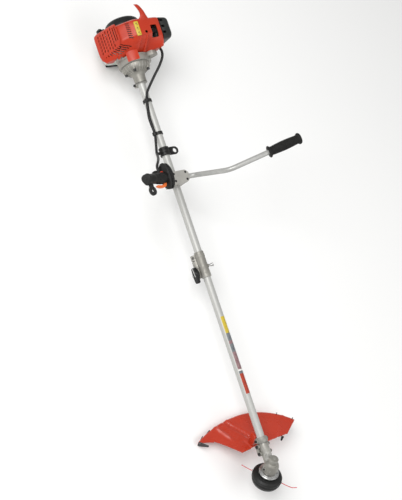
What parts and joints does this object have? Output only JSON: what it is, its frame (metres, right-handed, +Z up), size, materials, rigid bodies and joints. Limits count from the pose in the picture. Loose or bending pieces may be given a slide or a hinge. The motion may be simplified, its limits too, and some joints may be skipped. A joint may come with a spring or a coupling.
{
  "type": "string trimmer",
  "caption": "Petrol string trimmer with a split straight shaft, wide bicycle handlebar, red covered engine at one end and a bump-feed line head under a red guard at the other.",
  "frame": {"origin": "centre of the bounding box's bottom, on the ground under the middle of the shaft", "axes": "+X along the shaft from the engine to the cutting head, +Y to the operator's left, +Z up"},
  "size_m": [1.8114, 0.6342, 0.4649],
  "materials": {
    "red_plastic": "glossy moulded red",
    "black_plastic": "fine-grained black",
    "rubber": "soft black",
    "cast_alloy": "as-cast, slightly rough",
    "tube_alloy": "brushed and anodised",
    "steel": "machined",
    "tank_plastic": "translucent off-white",
    "line_nylon": "drawn nylon",
    "orange_plastic": "moulded orange",
    "foam": "open-cell foam",
    "ceramic": "glazed white",
    "starter_cord": "braided cord"
  },
  "bodies": {
    "powerhead_and_shaft": {"engine_shroud": "red_plastic", "muffler_guard": "red_plastic", "muffler": "steel", "cylinder": "cast_alloy", "spark_plug": "ceramic", "plug_boot": "rubber", "crankcase": "cast_alloy", "fan_housing": "cast_alloy", "clutch_case": "cast_alloy", "fuel_tank": "tank_plastic", "tank_stand": "black_plastic", "carburettor": "cast_alloy", "filter_element": "foam", "air_filter_cover": "black_plastic", "recoil_starter_cover": "black_plastic", "upper_tube": "tube_alloy", "shaft_bush": "rubber", "coupler": "cast_alloy", "harness_ring": "black_plastic", "handlebar": "tube_alloy", "handlebar_cap": "cast_alloy", "handlebar_base": "cast_alloy", "left_grip": "rubber", "throttle_housing": "black_plastic", "throttle_cable": "rubber", "cable_strap_rear": "black_plastic", "cable_strap_front": "black_plastic"},
    "crank": {"crankshaft": "steel", "flywheel": "cast_alloy", "clutch_shoes": "steel"},
    "piston_body": {"piston": "steel"},
    "upper_drive": {"clutch_drum": "steel", "upper_driveshaft": "steel"},
    "lower_shaft": {"lower_tube": "tube_alloy", "gearbox_housing": "cast_alloy", "guard": "red_plastic", "guard_bracket": "cast_alloy", "cutter_blade": "steel"},
    "lower_drive": {"lower_driveshaft": "steel", "pinion_gear": "steel"},
    "head": {"bevel_gear": "steel", "output_shaft": "steel", "drive_flange": "steel", "head_housing": "black_plastic", "line_spool": "orange_plastic", "head_spring": "steel", "cutting_line_right": "line_nylon", "cutting_line_left": "line_nylon"},
    "bump": {"bump_knob": "black_plastic"},
    "trigger": {"throttle_trigger": "orange_plastic"},
    "lockout": {"throttle_lockout": "black_plastic"},
    "switch": {"stop_switch": "red_plastic"},
    "choke": {"choke_lever": "black_plastic"},
    "primer": {"primer_bulb": "tank_plastic"},
    "cap": {"fuel_cap": "black_plastic"},
    "knob": {"coupler_knob": "black_plastic"},
    "lock_pin": {"coupler_pin": "steel"},
    "pull": {"starter_handle": "black_plastic", "starter_rope": "starter_cord"},
    "reel": {"starter_reel": "black_plastic"}
  },
  "joints": [
    {"name": "crank_spin", "type": "hinge", "parent": "powerhead_and_shaft", "child": "crank", "pos_m": [-0.80776, -0.06577, 0.15], "axis": [1, 0, 0], "continuous": true},
    {"name": "piston_stroke", "type": "slide", "parent": "powerhead_and_shaft", "child": "piston_body", "axis": [0, 0, 1], "range_m": [-0.026, 0]},
    {"name": "drive_spin", "type": "hinge", "parent": "powerhead_and_shaft", "child": "upper_drive", "pos_m": [-0.69576, -0.06577, 0.15], "axis": [1, 0, 0], "continuous": true},
    {"name": "lower_shaft_pull", "type": "slide", "parent": "powerhead_and_shaft", "child": "lower_shaft", "axis": [1, 0, 0], "range_m": [0, 0.049]},
    {"name": "lower_drive_spin", "type": "hinge", "parent": "lower_shaft", "child": "lower_drive", "pos_m": [0.40424, -0.06577, 0.15], "axis": [1, 0, 0], "continuous": true},
    {"name": "head_spin", "type": "hinge", "parent": "lower_shaft", "child": "head", "pos_m": [0.80424, -0.06577, 0.15], "axis": [0.5736, 0, -0.8192], "continuous": true},
    {"name": "bump_press", "type": "slide", "parent": "head", "child": "bump", "axis": [-0.5736, 0, 0.8192], "range_m": [0, 0.005], "stiffness_N_per_m": 800},
    {"name": "trigger_squeeze", "type": "hinge", "parent": "powerhead_and_shaft", "child": "trigger", "pos_m": [-0.21776, -0.22617, 0.3413], "axis": [0, 0.312, 0.9501], "range_deg": [-12, 0], "stiffness_Nm_per_rad": 0.4},
    {"name": "lockout_press", "type": "hinge", "parent": "powerhead_and_shaft", "child": "lockout", "pos_m": [-0.25376, -0.26557, 0.3542], "axis": [0, 0.312, 0.9501], "range_deg": [-8, 0], "stiffness_Nm_per_rad": 0.3},
    {"name": "stop_switch_slide", "type": "slide", "parent": "powerhead_and_shaft", "child": "switch", "axis": [0, -0.9501, 0.312], "range_m": [0, 0.006]},
    {"name": "choke_turn", "type": "hinge", "parent": "powerhead_and_shaft", "child": "choke", "pos_m": [-0.80776, 0.00023, 0.234], "axis": [0, 0, 1], "range_deg": [-60, 0]},
    {"name": "primer_press", "type": "slide", "parent": "powerhead_and_shaft", "child": "primer", "axis": [0, 0, 1], "range_m": [0, 0.005], "stiffness_N_per_m": 300},
    {"name": "fuel_cap_turn", "type": "hinge", "parent": "powerhead_and_shaft", "child": "cap", "pos_m": [-0.75576, -0.03177, 0.058], "axis": [1, 0, 0], "range_deg": [0, 360]},
    {"name": "coupler_knob_turn", "type": "hinge", "parent": "powerhead_and_shaft", "child": "knob", "pos_m": [0.08224, -0.09577, 0.135], "axis": [0, 1, 0], "range_deg": [0, 360]},
    {"name": "coupler_pin_pull", "type": "slide", "parent": "powerhead_and_shaft", "child": "lock_pin", "axis": [0, 1, 0], "range_m": [0, 0.01], "stiffness_N_per_m": 400},
    {"name": "starter_pull", "type": "slide", "parent": "powerhead_and_shaft", "child": "pull", "axis": [0, -1, 0], "range_m": [0, 0.05], "stiffness_N_per_m": 60},
    {"name": "starter_reel_turn", "type": "hinge", "parent": "powerhead_and_shaft", "child": "reel", "pos_m": [-0.88476, -0.06577, 0.15], "axis": [1, 0, 0], "range_deg": [-120, 0]}
  ],
  "couplings": [
    {"joint": "lower_drive_spin", "follows": "drive_spin", "ratio": 1},
    {"joint": "head_spin", "follows": "drive_spin", "ratio": -0.75},
    {"joint": "starter_reel_turn", "follows": "starter_pull", "rad_per_m": -40}
  ]
}
